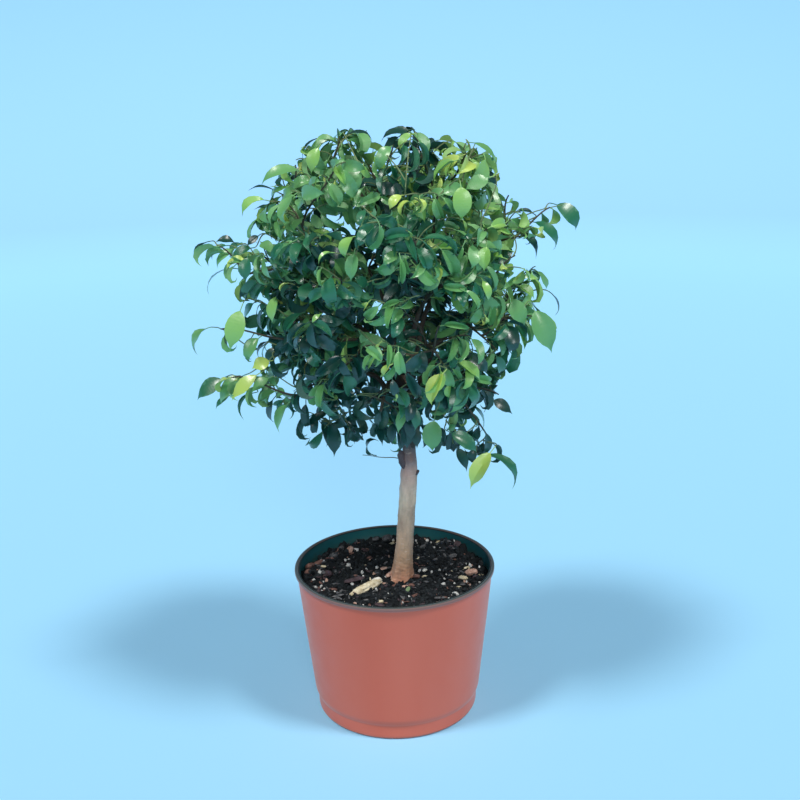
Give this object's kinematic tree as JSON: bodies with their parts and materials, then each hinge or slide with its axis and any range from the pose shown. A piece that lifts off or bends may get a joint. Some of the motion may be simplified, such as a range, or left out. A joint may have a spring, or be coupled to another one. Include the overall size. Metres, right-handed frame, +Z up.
{
  "type": "potted weeping fig standard",
  "caption": "Weeping fig trained as a standard: a round head of drooping leaves on a slim bare trunk, in a tapered plastic nursery pot with a recessed foot.",
  "frame": {"origin": "centre of the pot's flat underside", "axes": "+Z up along the pot's axis, -Y towards the viewer of the front, +X to that viewer's right"},
  "size_m": [0.3583, 0.3165, 0.5883],
  "materials": {
    "pot_terracotta": "satin",
    "pot_green": "satin",
    "potting_mix": "matte",
    "bark": "matte",
    "bough_bark": "matte",
    "leaf": "satin"
  },
  "bodies": {
    "root": {"pot": "pot_terracotta", "pot_lining": "pot_green", "potting_mix": "potting_mix", "trunk": "bark", "bough_top": "bough_bark", "bough_lower_front_right": "bough_bark", "bough_lower_back_right": "bough_bark", "bough_lower_back": "bough_bark", "bough_lower_left": "bough_bark", "bough_lower_front": "bough_bark", "bough_middle_front": "bough_bark", "bough_middle_right": "bough_bark", "bough_middle_back": "bough_bark", "bough_middle_back_left": "bough_bark", "bough_middle_front_left": "bough_bark", "bough_upper_front_right": "bough_bark", "bough_upper_back_right": "bough_bark", "bough_upper_back_left": "bough_bark", "bough_upper_front_left": "bough_bark", "foliage_top": "leaf", "foliage_lower_front_right": "leaf", "foliage_lower_back_right": "leaf", "foliage_lower_back": "leaf", "foliage_lower_left": "leaf", "foliage_lower_front": "leaf", "foliage_middle_front": "leaf", "foliage_middle_right": "leaf", "foliage_middle_back": "leaf", "foliage_middle_back_left": "leaf", "foliage_middle_front_left": "leaf", "foliage_upper_front_right": "leaf", "foliage_upper_back_right": "leaf", "foliage_upper_back_left": "leaf", "foliage_upper_front_left": "leaf"}
  },
  "joints": []
}
